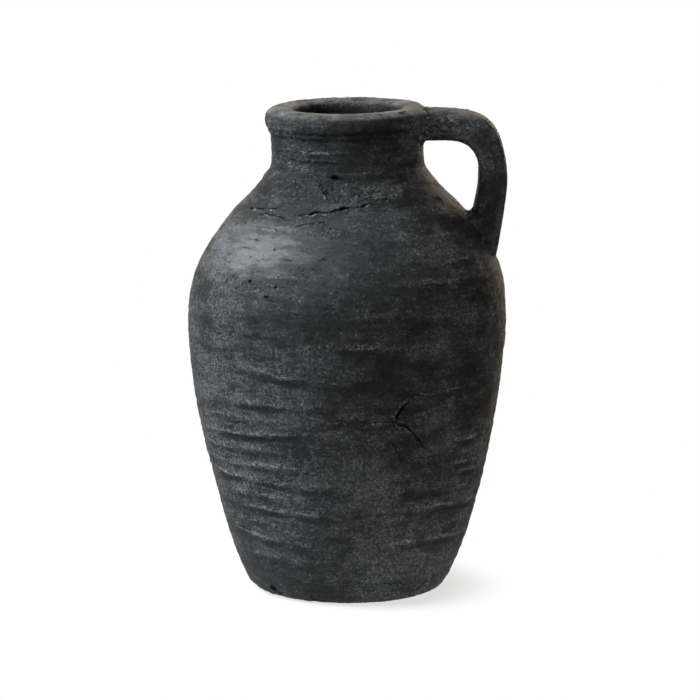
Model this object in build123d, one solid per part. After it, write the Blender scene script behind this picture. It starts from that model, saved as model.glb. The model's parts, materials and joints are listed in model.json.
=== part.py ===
from build123d import *
import os

# A black-fired clay jug: a wide shouldered pot with a rolled rim and one strap handle.
# It is made the way the potter makes it: rings of wall are formed one above the other,
# each seated on a bevelled (scarfed) edge, and the rim, the strap and two wads of soft
# clay are luted on. Millimetres, +Z up, origin at the centre of the foot's underside,
# on the pot's axis. The handle is on the +X side.

# ---- driving dimensions ----
HEIGHT = 350.0            # foot to the crown of the rim
FOOT_R = 62.0             # flat underside
HEEL_R = 72.4             # where the foot's rounded edge ends
HEEL_Z = 8.0
BELLY_R = 114.2           # widest point
BELLY_Z = 204.0
NECK_R = 54.5             # narrowest point of the neck
NECK_Z = 319.0
COLLAR_R = 54.9           # where the rim's underside meets the neck
COLLAR_Z = 331.2
RIM_R = 58.6              # outside of the rolled rim
CROWN_R = 49.0            # top of the rim
MOUTH_R = 38.4            # clear mouth

WALL = 10.0               # wall thickness of the belly
BASE = 14.0               # thickness of the slab
FLOOR_R = 56.0            # flat part of the inside floor

HEEL_SLOPE = (0.52, 1)    # direction of the outer wall as it leaves the heel
FLOOR_SLOPE = (-0.4, -1)  # direction of the inner wall as it meets the floor's rounding

STRAP_W = 32.0            # handle strap, across
STRAP_EDGE = 5.0          # rounding of the strap's long edges
STRAP_TOP_Z = 347.7       # upper side of the strap where it leaves the rim
STRAP_UNDER_Z = 326.1     # lower side of the strap at its highest
STRAP_REACH = 114.2       # furthest point of the handle from the axis

# Outer wall between the heel and the neck, as (radius, height).
OUTER_POINTS = [
    (78.1, 20),
    (93.7, 70),
    (107.0, 130),
    (113.0, 176),
    (BELLY_R, BELLY_Z),
    (111.0, 228),
    (104.8, 243),
    (94.3, 260),
    (78.2, 280.4),
    (66.5, 292),
    (57.7, 303.6),
]
# Inner wall from the floor to the throat, as (radius, height).
INNER_POINTS = [
    (65.5, 24),
    (83.0, 70),
    (96.6, 130),
    (BELLY_R - WALL, BELLY_Z),
    (96.0, 238),
    (68.5, 276),
    (47.5, 300),
]

# Joints between the rings, each a bevel from the inside (small radius) to the outside.
FAR_R = 150.0
BASE_JOINT = [(0, BASE), (FLOOR_R + 4, BASE), (76, 6.5), (FAR_R, 6.5)]
LOWER_JOINT = [(0, 131), (97, 131), (107, 138), (FAR_R, 138)]
BELLY_JOINT = [(0, 213), (102.5, 213), (112, 220), (FAR_R, 220)]
SHOULDER_JOINT = [(0, 278), (66, 278), (73.5, 284), (FAR_R, 284)]
RIM_SADDLE = [(0, 329), (42, 329), (46, 336.5), (50, 336.5), (COLLAR_R, COLLAR_Z), (FAR_R, COLLAR_Z)]

RINGS = {
    "base_slab": ([(0, -5), (FAR_R, -5)], BASE_JOINT),
    "lower_wall": (BASE_JOINT, LOWER_JOINT),
    "belly_wall": (LOWER_JOINT, BELLY_JOINT),
    "shoulder_wall": (BELLY_JOINT, SHOULDER_JOINT),
    "neck": (SHOULDER_JOINT, RIM_SADDLE),
    "rim": (RIM_SADDLE, [(0, HEIGHT + 5), (FAR_R, HEIGHT + 5)]),
}

# Luting wads: flattened balls of clay, centre (x, z) and half sizes along the wall,
# across the strap and out of the wall; lean is the wall's slope from the upright.
UPPER_WAD = {"at": (54.0, 331.0), "along": 11.5, "across": 19.5, "out": 9.0, "lean": 0.0}
LOWER_WAD = {"at": (97.4, 258.0), "along": 25.0, "across": 21.5, "out": 7.0, "lean": 32.0}


def outside_curves():
    """Outer side of the pot, from the foot's edge to the crown of the rim."""
    heel = Spline((FOOT_R, 0), (HEEL_R, HEEL_Z), tangents=((1, 0.25), HEEL_SLOPE))
    body = Spline((HEEL_R, HEEL_Z), *OUTER_POINTS, (NECK_R, NECK_Z), tangents=(HEEL_SLOPE, (0, 1)))
    throat_side = Line((NECK_R, NECK_Z), (COLLAR_R, COLLAR_Z))
    roll = Spline(
        (COLLAR_R, COLLAR_Z), (RIM_R, 338.0), (RIM_R, 343.0), (57.3, 346.9), (54.2, 349.0), (CROWN_R, HEIGHT),
        tangents=((0.9, 1), (-1, 0)),
    )
    return heel + body + throat_side + roll


def inside_curves():
    """Inner side of the pot, from the crown of the rim down to the flat floor."""
    lip = Spline((CROWN_R, HEIGHT), (41.5, 348.9), (MOUTH_R, 345.0), tangents=((-1, 0), (0, -1)))
    wall = Spline(
        (MOUTH_R, 345.0), (39.5, 332), (42.0, 318), *reversed(INNER_POINTS),
        tangents=((0, -1), FLOOR_SLOPE),
    )
    floor_round = Spline(INNER_POINTS[0], (62.0, 17.6), (FLOOR_R, BASE), tangents=(FLOOR_SLOPE, (-1, 0)))
    return lip + wall + floor_round


def wall_section():
    """Half section of the empty pot, in the XZ plane."""
    slab = Polyline((FLOOR_R, BASE), (0, BASE), (0, 0), (FOOT_R, 0))
    return make_face(outside_curves() + inside_curves() + slab)


def solid_pot():
    """The pot's outer shape filled in, for trimming what is luted on the outside."""
    core = Polyline((CROWN_R, HEIGHT), (0, HEIGHT), (0, 0), (FOOT_R, 0))
    return revolve(Plane.XZ * make_face(outside_curves() + core), Axis.Z)


def ring(section, lower, upper):
    """The wall between two joints, turned round the axis."""
    band = make_face(Polyline(*lower, *reversed(upper), close=True))
    return revolve(Plane.XZ * (section & band), Axis.Z)


def strap(pot):
    """The handle: out from the rim, round a tight bend and down on to the shoulder."""
    outer = Spline(
        (44, STRAP_TOP_Z), (74, STRAP_TOP_Z), (89.5, 345.6), (98.0, 342.0), (106.2, 333.2), (111.0, 321.0),
        (STRAP_REACH, 301), (111.5, 272), (106.5, 243), (101.0, 226),
        tangents=((1, 0), (-0.35, -1)),
    )
    inner = Spline(
        (76, 240), (88.8, 272), (92.3, 288), (93.6, 304), (89.3, 318.6), (81.5, 324.4),
        (66.5, STRAP_UNDER_Z), (44, STRAP_UNDER_Z),
        tangents=((0.4, 1), (-1, 0)),
    )
    ends = Polyline((101.0, 226), (76, 240)) + Polyline((44, STRAP_UNDER_Z), (44, STRAP_TOP_Z))
    outline = make_face(outer + inner + ends)
    blank = extrude(Plane.XZ * outline, STRAP_W / 2, both=True)
    side_edges = blank.edges().filter_by(lambda e: abs(abs(e.center().Y) - STRAP_W / 2) < 0.01)
    long_edges = side_edges.filter_by(lambda e: e.length > 60)
    return fillet(long_edges, STRAP_EDGE) - pot


def wad(shape, pot, handle):
    """A flattened ball of clay pressed round an end of the strap."""
    ball = scale(Sphere(1), by=(shape["out"], shape["across"], shape["along"]))
    x, z = shape["at"]
    placed = Pos(x, 0, z) * Rot(0, -shape["lean"], 0) * ball
    return placed - pot - handle


def main():
    section = wall_section()
    pot = solid_pot()
    parts = {}
    for name, (lower, upper) in RINGS.items():
        parts[name] = ring(section, lower, upper)

    parts["handle"] = strap(pot)
    parts["handle_upper_luting"] = wad(UPPER_WAD, pot, parts["handle"])
    parts["handle_lower_luting"] = wad(LOWER_WAD, pot, parts["handle"])

    os.makedirs("parts", exist_ok=True)
    for name, shape in parts.items():
        export_step(shape, f"parts/{name}.step")


main()
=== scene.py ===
from contextlib import contextmanager
import json
import math

import bmesh
import bpy
import numpy as np
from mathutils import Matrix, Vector
from mathutils.bvhtree import BVHTree


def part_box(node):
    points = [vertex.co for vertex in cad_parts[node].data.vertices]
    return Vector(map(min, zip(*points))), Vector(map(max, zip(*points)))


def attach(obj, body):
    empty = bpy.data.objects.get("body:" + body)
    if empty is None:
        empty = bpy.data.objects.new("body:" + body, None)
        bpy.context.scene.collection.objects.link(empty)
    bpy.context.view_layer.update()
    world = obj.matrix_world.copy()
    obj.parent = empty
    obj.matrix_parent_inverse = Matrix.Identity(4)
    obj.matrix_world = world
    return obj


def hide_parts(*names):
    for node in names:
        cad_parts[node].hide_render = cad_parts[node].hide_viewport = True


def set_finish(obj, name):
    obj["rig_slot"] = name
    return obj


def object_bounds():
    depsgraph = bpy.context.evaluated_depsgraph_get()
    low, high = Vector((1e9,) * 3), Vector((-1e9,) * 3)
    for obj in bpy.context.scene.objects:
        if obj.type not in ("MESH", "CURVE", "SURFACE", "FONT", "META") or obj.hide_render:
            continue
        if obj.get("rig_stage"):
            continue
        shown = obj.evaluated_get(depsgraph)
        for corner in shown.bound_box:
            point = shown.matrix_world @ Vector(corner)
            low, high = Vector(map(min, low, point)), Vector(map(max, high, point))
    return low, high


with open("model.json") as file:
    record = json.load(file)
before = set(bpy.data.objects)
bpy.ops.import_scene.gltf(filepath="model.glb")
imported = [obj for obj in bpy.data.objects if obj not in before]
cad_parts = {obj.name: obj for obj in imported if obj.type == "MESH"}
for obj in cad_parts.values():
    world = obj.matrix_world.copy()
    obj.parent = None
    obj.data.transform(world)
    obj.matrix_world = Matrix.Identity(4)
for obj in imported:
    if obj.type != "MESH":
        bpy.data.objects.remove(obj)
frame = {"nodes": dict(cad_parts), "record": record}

CAD_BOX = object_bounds()
MM = 0.001
RINGS = ["base_slab", "lower_wall", "belly_wall", "shoulder_wall", "neck", "rim"]
SLOTS = {row["node"]: row["material_slot"] for row in frame["record"]["subparts"]}

# ---- driving values, in millimetres and degrees ----
COLUMNS = 736                 # steps round the pot
OUTER_STEP = 1.28             # rows up the outside
RIM_STEP = 0.7
THROAT_STEP = 1.6
INNER_STEP = 9.0
THROAT_DEPTH = 60.0           # how far down the mouth the finer rows go
RIM_CORE = (48.5, 340.5)      # a point in the middle of the rolled rim, (radius, height)
RIM_SEAM_RISE = 2.2           # the rim's seam shows this far above the lowest point of its saddle
COLLAR_DROP = 8.0             # the wall is measured in heights up to this far below the neck's top
SAMPLE_AZIMUTH = 137.3        # where the rings are measured, away from the handle

# Angles below are degrees round from the front of the pot, positive towards the handle.
# The last number given to noise, layered or pits is the seed of its pattern.


# ---------------------------------------------------------------- noise

def cell_value(cells, seed):
    """A repeatable number from -1 to 1 for each whole-numbered cell."""
    cells = cells.astype(np.int64)
    mixed = cells[..., 0] * 73856093 ^ cells[..., 1] * 19349663 ^ cells[..., 2] * 83492791
    mixed = (mixed ^ seed * 2654435761) & 0xFFFFFFFF
    mixed = (mixed ^ (mixed >> 15)) * 2246822519 & 0xFFFFFFFF
    mixed = (mixed ^ (mixed >> 13)) * 3266489917 & 0xFFFFFFFF
    mixed = (mixed ^ (mixed >> 16)) & 0xFFFFFF
    return mixed / 0x7FFFFF - 1.0


def noise(points, size, seed):
    """Smooth noise from -1 to 1; size is the width of a lump, a number or one for each axis."""
    scaled = points / np.asarray(size, float)
    cells = np.floor(scaled)
    part = scaled - cells
    part = part * part * (3 - 2 * part)
    total = np.zeros(len(points))
    for corner in np.ndindex(2, 2, 2):
        weight = np.prod(np.where(corner, part, 1 - part), axis=1)
        total += weight * cell_value(cells + corner, seed)
    return total


def layered(points, size, seed, layers=3):
    """Noise with finer and weaker layers added."""
    total = np.zeros(len(points))
    for layer in range(layers):
        total += noise(points, np.asarray(size, float) / 2.1 ** layer, seed + layer) / 1.8 ** layer
    return total


def lumps(points, height, size, seed, layers=1):
    """Smooth lumps up to that high and deep, in mm."""
    return height * layered(points, size, seed, layers)


def pits(points, spacing, radius, seed, share):
    """Depth from 0 to 1 of small round pits scattered about one in each cell, in that share of cells."""
    cells = np.floor(points / spacing)
    deepest = np.zeros(len(points))
    for corner in np.ndindex(3, 3, 3):
        cell = cells + corner - 1
        shift = np.stack([cell_value(cell, seed + axis) for axis in range(3)], axis=1)
        centre = (cell + 0.5 + 0.45 * shift) * spacing
        own_radius = radius * (0.65 + 0.35 * cell_value(cell, seed + 3))
        near = 1 - np.linalg.norm(points - centre, axis=1) / own_radius
        there = (cell_value(cell, seed + 4) + 1) / 2 < share
        deepest = np.maximum(deepest, np.where(there, np.clip(near * 1.6, 0, 1), 0))
    return deepest * deepest * (3 - 2 * deepest)


def bump(offset, width):
    """A bell curve."""
    return np.exp(-(offset / width) ** 2)


def step(value, low, high):
    """0 below low, 1 above high, smooth between."""
    part = np.clip((value - low) / (high - low), 0, 1)
    return part * part * (3 - 2 * part)


# ---------------------------------------------------------------- lines

def run_along(line):
    """The distance run along a line at each of its points."""
    return np.concatenate([[0], np.cumsum(np.linalg.norm(np.diff(line, axis=0), axis=1))])


def look_up(wanted, run, line):
    """The line's two coordinates at the wanted distances."""
    return np.stack([np.interp(wanted, run, line[:, i]) for i in (0, 1)], axis=1)


# ---------------------------------------------------------------- the CAD rings' section

def cad_tree(names):
    """The named CAD nodes' surfaces, for measuring with rays."""
    vertices, faces = [], []
    for name in names:
        mesh = frame["nodes"][name].data
        first = len(vertices)
        vertices += [v.co for v in mesh.vertices]
        faces += [[first + i for i in p.vertices] for p in mesh.polygons]
    return BVHTree.FromPolygons(vertices, faces)


def section_point(tree, start, towards):
    """Where a ray in the rings' half section, given as (radius, height) in mm, meets the clay."""
    azimuth = math.radians(SAMPLE_AZIMUTH)
    across = Vector((math.cos(azimuth), math.sin(azimuth), 0))
    origin = (across * start[0] + Vector((0, 0, start[1]))) * MM
    direction = across * (towards[0] - start[0]) + Vector((0, 0, towards[1] - start[1]))
    hit = tree.ray_cast(origin, direction.normalized())[0]
    return (hit.xy.length / MM, hit.z / MM)


def ring_section():
    """The pot's section from the middle of the underside, over the rim, to the middle of the floor."""
    tree = cad_tree(RINGS)
    foot_edge = max(v.co.xy.length for v in frame["nodes"]["base_slab"].data.vertices if v.co.z < 1e-6) / MM
    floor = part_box("base_slab")[1].z / MM
    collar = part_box("neck")[1].z / MM - COLLAR_DROP
    points = [(0.0, 0.0), (foot_edge * 0.5, 0.0), (foot_edge - 2, 0.0), (foot_edge, 0.15)]
    for height in [*np.arange(1.5, 10, 1.5), *np.arange(13, collar, 7), collar]:
        points.append(section_point(tree, (200, height), (0, height)))
    for degrees in range(-50, 221, 9):
        turn = math.radians(degrees)
        far = (RIM_CORE[0] + 30 * math.cos(turn), RIM_CORE[1] + 30 * math.sin(turn))
        points.append(section_point(tree, far, RIM_CORE))
    for height in [*np.arange(collar - 4, floor + 12, -7), floor + 9, floor + 5, floor + 2]:
        points.append(section_point(tree, (0, height), (200, height)))
    points += [(foot_edge - 8, floor), (foot_edge * 0.5, floor), (0.0, floor)]
    return np.array(points)


def curve_through(points, samples_per_span=24):
    """A dense smooth line through the points (Catmull-Rom, spaced by chord length)."""
    gaps = np.linalg.norm(np.diff(points, axis=0), axis=1)
    slopes = np.gradient(points, run_along(points), axis=0)
    t = np.linspace(0, 1, samples_per_span, endpoint=False)[:, None]
    dense = []
    for i, gap in enumerate(gaps):
        dense.append(
            (2 * t ** 3 - 3 * t ** 2 + 1) * points[i] + (t ** 3 - 2 * t ** 2 + t) * gap * slopes[i]
            + (3 * t ** 2 - 2 * t ** 3) * points[i + 1] + (t ** 3 - t ** 2) * gap * slopes[i + 1]
        )
    return np.concatenate([*dense, points[-1:]])


class Profile:
    """The section as a line that is measured by the distance run along it."""

    def __init__(self):
        self.line = curve_through(ring_section())
        self.run = run_along(self.line)
        self.crown = self.run[self.line[:, 1].argmax()]
        tangent = np.gradient(self.line, self.run, axis=0)
        tangent /= np.linalg.norm(tangent, axis=1)[:, None]
        self.normal = np.stack([tangent[:, 1], -tangent[:, 0]], axis=1)

    def at(self, run):
        """(radius, height) and the outward normal there."""
        normal = look_up(run, self.run, self.normal)
        return look_up(run, self.run, self.line), normal / np.linalg.norm(normal, axis=1)[:, None]

    def run_outside(self, height):
        side = self.run <= self.crown
        return float(np.interp(height, np.maximum.accumulate(self.line[side, 1]), self.run[side]))

    def run_inside(self, height):
        side = self.run >= self.crown
        return float(np.interp(-height, np.maximum.accumulate(-self.line[side, 1]), self.run[side]))


PROFILE = Profile()


def joint_runs():
    """Where the rings' joints meet the outside and the inside, from the foot up."""
    boxes = {name: [corner.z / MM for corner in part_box(name)] for name in RINGS}
    outside = [boxes["lower_wall"][0], boxes["lower_wall"][1], boxes["belly_wall"][1],
               boxes["shoulder_wall"][1], boxes["rim"][0] + RIM_SEAM_RISE]
    inside = [boxes["base_slab"][1] + 0.05, boxes["belly_wall"][0], boxes["shoulder_wall"][0],
              boxes["neck"][0], boxes["rim"][0]]
    return [PROFILE.run_outside(h) for h in outside], [PROFILE.run_inside(h) for h in inside]


def grid_rows():
    """Distances along the section for every row, with a row exactly at each joint."""
    outside, inside = joint_runs()
    throat_end = PROFILE.crown + THROAT_DEPTH
    stops = [(PROFILE.run_outside(1.0), 5.0)]
    stops += [(run, OUTER_STEP) for run in outside]
    stops += [(inside[-1], RIM_STEP), (throat_end, THROAT_STEP)]
    stops += [(run, INNER_STEP) for run in reversed(inside[:-1])]
    stops += [(PROFILE.run[-1] - 2.0, 8.0)]
    rows = [2.0]
    for stop, spacing in stops:
        count = max(1, round((stop - rows[-1]) / spacing))
        rows += list(np.linspace(rows[-1], stop, count + 1)[1:])
    return np.array(rows)


# ---------------------------------------------------------------- marks in the clay

# Ridges left by the fingers on the wheel: height, middle, half length, how far proud, rise per degree.
SEEN_RIDGES = [
    (322.5, -28, 40, 0.68, 0.0),
    (317.5, -24, 46, 0.75, 0.0),
    (309, 22, 26, 0.52, 0.02),
    (262, -32, 16, 0.38, 0.0),
    (256, -28, 20, 0.45, 0.02),
    (248, 52, 16, 0.68, 0.0),
    (241, -26, 18, 0.45, 0.02),
    (236, 38, 20, 0.52, 0.0),
    (212, 30, 24, 0.45, 0.0),
    (194, 4, 18, 0.75, 0.0),
    (171, -24, 24, 0.98, -0.20),
    (160, 44, 22, 0.52, 0.02),
    (150, -38, 30, 0.83, 0.03),
    (138, -52, 22, 0.83, 0.05),
    (127, -38, 32, 1.15, 0.10),
    (115, -48, 26, 0.90, 0.04),
    (103, -46, 30, 1.15, 0.02),
    (93, -42, 38, 1.15, -0.03),
    (81, -44, 26, 0.90, -0.02),
    (70, -32, 24, 1.15, -0.06),
    (60, -50, 22, 0.75, -0.04),
    (49, -44, 26, 1.05, -0.14),
    (34, -30, 30, 0.60, -0.05),
    (120, 58, 26, 0.98, -0.03),
    (111, 48, 22, 0.60, -0.04),
    (103, 54, 24, 1.15, -0.05),
    (96, 62, 16, 0.98, 0.0),
    (84, 50, 26, 0.68, -0.03),
    (71, 62, 40, 1.15, -0.07),
    (58, 52, 26, 0.68, -0.03),
    (47, 42, 34, 1.05, -0.05),
]
COLLAR_RIDGE = 332.4          # height of a thin ridge just under the rim
INSIDE_SHADE = 0.88            # painted shade: how much darker the inside is painted
LIP_ABOVE = 4.8               # a ridge fades slowly above its lip
LIP_BELOW = 1.4               # and quickly below
DUST_ABOVE = 2.6              # the same for the dust on the lip
DUST_BELOW = 0.9
UNDER_SHADE_DROP = 3.8              # the painted shade under a ridge is darkest this far below its lip
UNDER_SHADE_WIDTH = 2.6
UNSEEN_RIDGE_COUNT = 26       # the same marks on the sides and the back
UNSEEN_HEIGHTS = (24, 262)
UNSEEN_ANGLES = (95, 265)
SHOULDER_HEIGHT = 215         # above this the unseen ridges are half as strong

# Cracks: width, depth, how high the broken edge stands, and the line as (angle, height) pairs.
CRACKS = [
    (2.3, 3.8, 0.80, [(-22, 282), (-16, 283), (-10, 284.3), (-3, 286), (2, 286.8)]),
    (1.1, 1.8, 0.50, [(-30, 280.4), (-25, 281.3), (-21, 282.2)]),
    (1.2, 1.9, 0.50, [(2, 286.8), (8, 287.6), (13, 289.3), (20, 291), (26, 292)]),
    (1.6, 2.6, 0.55, [(-66, 280.5), (-58, 281.5), (-50, 282.5), (-42, 284)]),
    (1.2, 1.9, 0.45, [(-53, 279), (-45, 279.5), (-38, 279), (-31, 277)]),
    (0.9, 1.3, 0.40, [(-27, 274), (-20, 276), (-12, 277)]),
    (0.8, 1.2, 0.40, [(-48, 272), (-41, 271.2), (-35, 270)]),
    (0.8, 1.2, 0.35, [(-22, 303), (-17, 300), (-15, 295), (-12, 291)]),
    (0.7, 1.0, 0.35, [(-34, 308), (-29, 305.5), (-25, 306.5), (-21, 304)]),
    (0.7, 1.0, 0.35, [(-36, 300), (-31, 297), (-27, 297.5)]),
    (1.8, 3.0, 0.70, [(24, 157), (21.5, 151), (19.5, 147), (18.5, 140)]),
    (1.2, 2.2, 0.55, [(18.5, 140), (21, 136), (25.5, 131)]),
    (0.9, 1.6, 0.45, [(25.5, 131), (29, 124), (33, 117)]),
    (0.8, 1.3, 0.40, [(24, 157), (29, 160), (33, 157)]),
    (1.1, 1.8, 0.45, [(33, 157), (36.5, 152), (40, 148)]),
    (0.8, 1.2, 0.50, [(-7, 142), (-2, 141), (3, 138.5)]),
    (0.8, 1.2, 0.50, [(5, 138.3), (8, 138.5), (13, 140), (18.5, 140)]),
    (1.0, 1.8, 0.40, [(18, 125), (18.6, 121), (20, 116)]),
    (0.7, 0.9, 0.30, [(20, 116), (22, 106), (23, 101)]),
    (0.7, 1.0, 0.30, [(53, 170.5), (57, 173.5)]),
    (0.9, 1.4, 0.35, [(148, 205), (154, 199), (163, 197), (171, 190)]),
    (0.9, 1.4, 0.35, [(-128, 90), (-121, 86), (-116, 79), (-108, 77)]),
    (1.0, 1.6, 0.35, [(-170, 283), (-158, 284.5), (-147, 284), (-139, 286)]),
]
# Crumbly places: angle, height, half sizes in mm across and up, and how deeply pitted.
CRUMBLY = [
    (-24, 299, 32, 11, 1.0),
    (-30, 289, 14, 5, 0.6),
    (-14, 277, 9, 6, 1.3),
    (-47, 276, 16, 3, 0.6),
    (-42, 341, 24, 4, 0.7),
    (-38, 235, 26, 4, 1.0),
    (-20, 243, 16, 6, 1.0),
    (-46, 232, 16, 4, 0.8),
    (2, 293, 16, 5, 0.6),
    (-38, 320, 24, 9, 0.9),
    (14, 298, 16, 8, 0.5),
    (-8, 270, 18, 6, 0.7),
    (-14, 252, 16, 6, 0.6),
    (4, 140, 22, 3, 0.7),
    (20, 141, 8, 9, 0.9),
    (66, 286, 16, 6, 0.5),
    (130, 292, 18, 7, 0.7),
    (-150, 240, 24, 6, 0.7),
    (168, 150, 26, 5, 0.6),
]
# Single deep marks: angle, height, half sizes across and up, depth.
HOLES = [
    (-10, 306, 3.2, 1.6, 4.0),
    (-7, 305.2, 2.2, 1.1, 2.0),
    (-14, 296, 1.6, 1.4, 1.4),
    (-31, 227, 2.6, 0.9, 1.6),
    (-40, 236, 1.8, 1.2, 1.5),
    (-28, 234, 1.6, 1.1, 1.4),
    (-33, 258, 1.1, 0.8, 1.0),
    (-47, 7.5, 3.6, 3.0, 2.4),
    (-43, 4.5, 2.4, 2.0, 1.6),
    (-20, 3.5, 2.4, 1.6, 1.0),
    (112, 5, 4.0, 2.6, 1.8),
    (46, 349.2, 2.6, 1.5, 1.4),
    (50, 349.6, 1.6, 1.5, 1.0),
    (-165, 348.5, 3.4, 2.4, 1.4),
]
# Patches scuffed paler, and darker ones below 0: angle, height, half sizes in mm across and up, and how
# much. The dark patches at the front middle of the shoulder, neck and rim are painted shade.
SCUFFS_AND_SHADE = [
    (-52, 165, 40, 46, 0.45),
    (-50, 92, 36, 24, 1.0),
    (-44, 24, 40, 14, -0.9),
    (-8, 205, 36, 24, -0.8),
    (0, 112, 150, 52, 0.5),
    (-24, 185, 30, 24, 0.6),
    (34, 196, 36, 26, 0.4),
    (36, 262, 34, 14, 0.6),
    (62, 84, 30, 30, 0.5),
    (4, 30, 60, 20, 0.35),
    # painted shade at the front middle of the shoulder
    (6, 258, 36, 22, -1.2),
    (-20, 150, 36, 18, 0.4),
    # painted shade at the front middle of the neck and rim
    (4, 318, 34, 14, -0.9),
    (6, 342, 30, 8, -1.3),
    (-42, 322, 20, 10, 0.3),
    (152, 165, 55, 42, 0.9),
    (180, 215, 30, 18, -0.7),
    (-138, 105, 50, 40, 0.9),
    (-120, 40, 36, 20, -0.6),
    (-165, 255, 45, 16, 0.7),
    (105, 120, 36, 24, -0.5),
]
POLISHED_PATCH_HIGHLIGHT = (-42, 257, 56, 28)      # the smooth patch on the shoulder, also painted paler as a highlight: angle, height, half sizes in mm
# Bare clay all over: height off the section and size of lump, in mm, and the seed.
WALL_SWELL = (0.45, 75, 1)
WALL_DENTS = (0.28, 27, 2)
WALL_BANDS = (0.26, (16, 16, 2.6), 5)
WALL_LUMPS = (0.30, 4.6, 8)
CRUMBS = (0.55, 2.6, 16)
COLLAR_GROOVE = (2.8, 0.6, 1.2)    # below the rim: how far above the thin ridge, depth, half width
# Pits: spacing, radius, seed, and share of the places that have one.
COARSE_PITS = (8.5, 1.35, 200, 0.13)
FINE_PITS = (2.7, 0.95, 210, 0.62)
NICKS = (3.8, 1.1, 220, 0.34)
LEVEL = np.array([0.34, 0.34, 1.0])     # stretches pits sideways into nicks
# The pot leans a little to and fro as it rises: height and sideways shift, positive towards the handle.
SWAY = [(0, 0.0), (30, 0.45), (85, 0.35), (120, -0.45), (165, -0.8), (205, -0.35), (240, 0.9), (280, 1.35),
        (306, 0.1), (325, -0.3), (350, -0.2)]
RIM_TILT = 0.014                   # the rim stands a little higher towards the handle


def unseen_ridges():
    """Finger ridges round the sides and back, made from a fixed seed."""
    draw = np.random.default_rng(7)
    heights = np.linspace(*UNSEEN_HEIGHTS, UNSEEN_RIDGE_COUNT) + draw.uniform(-3, 3, UNSEEN_RIDGE_COUNT)
    found = []
    for height in heights:
        middle = draw.uniform(*UNSEEN_ANGLES)
        strength = draw.uniform(0.3, 0.8) * (1 if height < SHOULDER_HEIGHT else 0.5)
        half_length, rise = draw.uniform(26, 55), draw.uniform(-0.06, 0.06)
        found.append((height, middle if middle < 180 else middle - 360, half_length, strength, rise))
    return found


def sway(height):
    """The sideways shift at a height, smooth between the stops."""
    total = np.full(len(height), SWAY[0][1])
    for (low, before), (high, after) in zip(SWAY, SWAY[1:]):
        total += (after - before) * step(height, low, high)
    return total


def turn_between(front, middle):
    """Degrees from middle, the short way round."""
    return (front - middle + 180) % 360 - 180


def lip_shape(above, slow, quick):
    """1 at a ridge's lip, fading slowly above it and quickly below."""
    return np.where(above > 0, np.exp(-above / slow), np.exp(-(above / quick) ** 2))


def finger_ridges(front, height, points):
    """How far the finger ridges stand proud, how dusty their lips are, and how much shade is painted under
    them.
    """
    proud = np.zeros(len(front))
    lip = np.zeros(len(front))
    under = np.zeros(len(front))
    waver = 1.4 * noise(points, 22, 31) + 0.5 * noise(points, 6, 32)
    patchy = 0.65 + 0.5 * noise(points, (14, 14, 30), 33)
    for ridge_height, middle, half_length, strength, rise in SEEN_RIDGES + unseen_ridges():
        turn = turn_between(front, middle)
        above = height - ridge_height - rise * turn - waver
        fade = bump(turn, half_length) * np.clip(patchy, 0.15, 1.3)
        proud += strength * lip_shape(above, LIP_ABOVE, LIP_BELOW) * fade
        lip = np.maximum(lip, strength * fade * lip_shape(above, DUST_ABOVE, DUST_BELOW))
        # painted shade: a dark band just below each ridge's lip
        under = np.maximum(under, strength * fade * bump(above + UNDER_SHADE_DROP, UNDER_SHADE_WIDTH))
    return proud, lip, under


def line_distance(across, up, line):
    """Signed distance to a line of (across, up) points, and the share of its length passed."""
    best = np.full(len(across), 1e9)
    side = np.zeros(len(across))
    share = np.zeros(len(across))
    lengths = [math.dist(a, b) for a, b in zip(line, line[1:])]
    passed = 0.0
    for (start, end), length in zip(zip(line, line[1:]), lengths):
        du, dv = (end[0] - start[0]) / length, (end[1] - start[1]) / length
        along = np.clip((across - start[0]) * du + (up - start[1]) * dv, 0, length)
        pu, pv = across - start[0] - along * du, up - start[1] - along * dv
        distance = np.hypot(pu, pv)
        closer = distance < best
        best = np.where(closer, distance, best)
        side = np.where(closer, du * pv - dv * pu, side)
        share = np.where(closer, (passed + along) / sum(lengths), share)
        passed += length
    return best, side, share


class Unrolled:
    """Points of the outside, to be laid flat round a place given by its angle and height."""

    def __init__(self, front, run, radius):
        self.front, self.run, self.radius = front, run, radius

    def near(self, angle, height, reach):
        """Which points are within reach mm of the place, and where they lie from it."""
        place_run = PROFILE.run_outside(height)
        across = np.radians(turn_between(self.front, angle)) * self.radius
        up = self.run - place_run
        chosen = np.nonzero((np.abs(across) < reach) & (np.abs(up) < reach))[0]
        return chosen, across[chosen], up[chosen]


def crack_lines():
    """Each crack with its line in mm round its own middle."""
    for width, depth, edge, line in CRACKS:
        angle = sum(a for a, h in line) / len(line)
        height = sum(h for a, h in line) / len(line)
        middle_run = PROFILE.run_outside(height)
        flat = []
        for a, h in line:
            run = PROFILE.run_outside(h)
            radius = PROFILE.at(np.array([run]))[0][0, 0]
            flat.append((math.radians(a - angle) * radius, run - middle_run))
        reach = max(abs(c) for point in flat for c in point) + 8
        yield width, depth, edge, angle, height, flat, reach


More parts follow.
